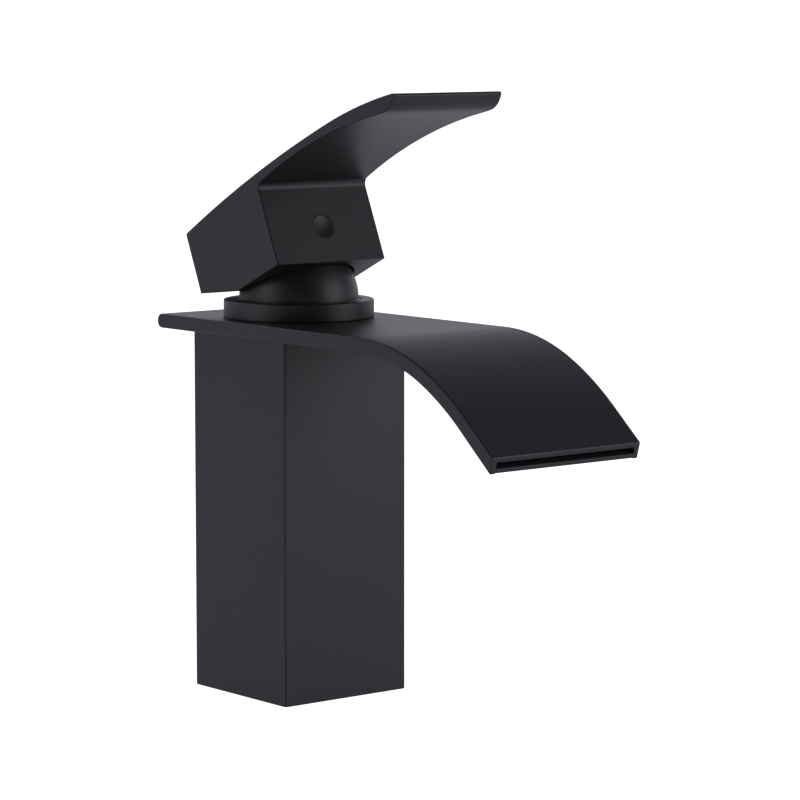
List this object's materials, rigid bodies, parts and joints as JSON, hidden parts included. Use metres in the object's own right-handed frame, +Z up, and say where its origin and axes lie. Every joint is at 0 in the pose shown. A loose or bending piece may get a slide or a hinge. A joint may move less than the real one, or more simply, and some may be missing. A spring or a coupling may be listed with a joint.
{
  "type": "bathroom mixer faucet",
  "caption": "Single-lever basin mixer with a square column, a flat falling waterfall spout plate and a raised block lever on a dome.",
  "frame": {"origin": "centre of the column underside, on the deck", "axes": "+Z up along the column, -Y towards the spout outlet, +X across"},
  "size_m": [0.054, 0.1553, 0.1798],
  "materials": {
    "matte_black": "fine matte black powder coat",
    "matte_black_cap": "matte black moulded cap",
    "brass": "machined brass",
    "steel": "plain stainless steel",
    "ceramic": "lapped white ceramic",
    "grey_plastic": "off-white moulded plastic",
    "blue_plastic": "blue moulded plastic",
    "rubber": "black sealing rubber"
  },
  "bodies": {
    "body": {"column_casing": "matte_black", "spout_cover": "matte_black", "spout_floor": "matte_black", "valve_body": "brass", "base_block": "brass", "deck_gasket": "rubber", "tie_screws": "steel", "hot_inlet_tube": "brass", "cold_inlet_tube": "brass", "inlet_tube_seals": "rubber", "cartridge_housing": "grey_plastic", "housing_seal": "rubber", "cartridge_base": "blue_plastic", "port_seals": "rubber", "disc_seals": "rubber", "fixed_disc": "ceramic", "cartridge_nut": "brass", "dome_washer": "rubber", "dome_cap": "matte_black", "collar_ring": "matte_black", "outlet_port_seals": "rubber"},
    "turret": {"turret": "grey_plastic", "pivot_pin": "steel"},
    "slider": {"disc_carrier": "blue_plastic", "moving_disc": "ceramic"},
    "lever": {"stem": "brass", "lever_handle": "matte_black", "lever_set_screw": "steel", "index_plug": "matte_black_cap"}
  },
  "joints": [
    {"name": "temperature_swivel", "type": "hinge", "parent": "body", "child": "turret", "pos_m": [0, 0, 0.1174], "axis": [0, 0, 1], "range_deg": [-45, 45]},
    {"name": "lever_lift", "type": "hinge", "parent": "turret", "child": "lever", "pos_m": [0, 0, 0.1174], "axis": [-1, 0, 0], "range_deg": [-23.5, 0]},
    {"name": "disc_slide", "type": "slide", "parent": "turret", "child": "slider", "axis": [0, 1, 0], "range_m": [0, 0.0049]}
  ],
  "couplings": [
    {"joint": "disc_slide", "follows": "lever_lift", "m_per_rad": -0.011666}
  ]
}
